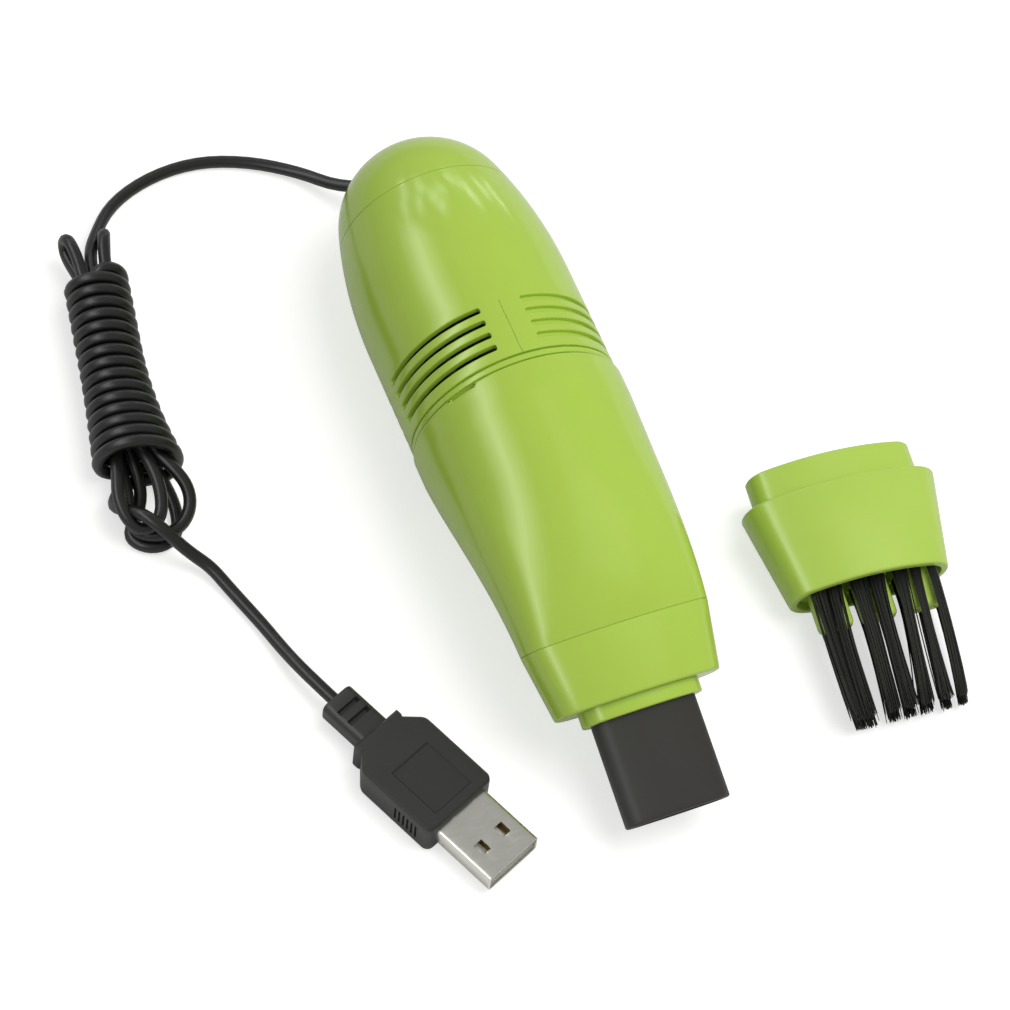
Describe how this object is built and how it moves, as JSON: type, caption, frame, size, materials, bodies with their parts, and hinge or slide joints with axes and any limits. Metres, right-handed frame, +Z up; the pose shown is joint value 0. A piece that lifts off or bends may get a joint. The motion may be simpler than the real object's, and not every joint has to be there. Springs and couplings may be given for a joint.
{
  "type": "desktop vacuum cleaner",
  "caption": "Hand-held USB vacuum cleaner with a pull-off dust cup, a flat rubber nozzle, a spare brush head and a coiled cord with plug.",
  "frame": {"origin": "point on the desk straight below the joint between rear housing and dust cup, on the housing's centre plane", "axes": "+Y along the housing axis towards its rear end, -Y towards the nozzle, +Z up from the desk, +X towards the spare brush head"},
  "size_m": [0.1443, 0.1652, 0.0411],
  "materials": {
    "green_plastic": "glossy",
    "black_plastic": "satin",
    "black_pvc": "satin",
    "black_rubber": "satin",
    "bristle": "matt",
    "black_fan": "satin",
    "white_cloth": "cloth",
    "steel": "bright",
    "magnet": "matt",
    "brass": "bright",
    "copper": "enamelled",
    "ceramic": "glossy",
    "white_insert": "glossy"
  },
  "bodies": {
    "housing": {"capacitor": "ceramic", "cord_coil": "black_pvc", "cord_grommet": "black_pvc", "cord_lead_housing": "black_pvc", "cord_lead_plug": "black_pvc", "inlet_plate": "green_plastic", "inner_leads": "black_pvc", "motor_bearings": "brass", "motor_brushes": "magnet", "motor_can": "steel", "motor_end_cap": "black_plastic", "motor_magnets": "magnet", "motor_plate": "black_plastic", "motor_screws": "steel", "motor_terminals": "brass", "plug_contacts": "brass", "plug_insert": "white_insert", "plug_overmould": "black_pvc", "plug_shell": "steel", "plug_strain_relief": "black_pvc", "rear_cap": "green_plastic", "rear_shell_left": "green_plastic", "rear_shell_right": "green_plastic", "shell_screw": "steel", "switch_body": "black_plastic", "switch_terminals": "brass"},
    "rotor": {"motor_shaft": "steel", "armature": "steel", "windings": "copper", "commutator": "brass", "impeller": "black_fan"},
    "switch_knob": {"switch_slider": "black_plastic"},
    "cup": {"dust_cup": "green_plastic"},
    "filter": {"filter_frame": "black_plastic", "filter_bag": "white_cloth"},
    "nozzle": {"nozzle_collar": "green_plastic", "nozzle_sleeve": "green_plastic", "rubber_nozzle": "black_rubber"},
    "brush_head": {"brush_collar": "green_plastic", "bristle_block": "green_plastic", "bristle_tufts": "bristle"}
  },
  "joints": [
    {"name": "fan_spin", "type": "hinge", "parent": "housing", "child": "rotor", "pos_m": [0, 0, 0.0204], "axis": [0, 1, 0], "continuous": true},
    {"name": "switch_slide", "type": "slide", "parent": "housing", "child": "switch_knob", "axis": [0, -1, 0], "range_m": [0, 0.002]},
    {"name": "cup_pull", "type": "slide", "parent": "housing", "child": "cup", "axis": [0, -1, 0], "range_m": [0, 0.03]},
    {"name": "filter_pull", "type": "slide", "parent": "housing", "child": "filter", "axis": [0, -1, 0], "range_m": [0, 0.0062]},
    {"name": "nozzle_pull", "type": "slide", "parent": "cup", "child": "nozzle", "axis": [0, -0.9415, -0.3371], "range_m": [0, 0.01]},
    {"name": "brush_lift", "type": "slide", "parent": "housing", "child": "brush_head", "axis": [0, 0, 1], "range_m": [0, 0.06]}
  ]
}
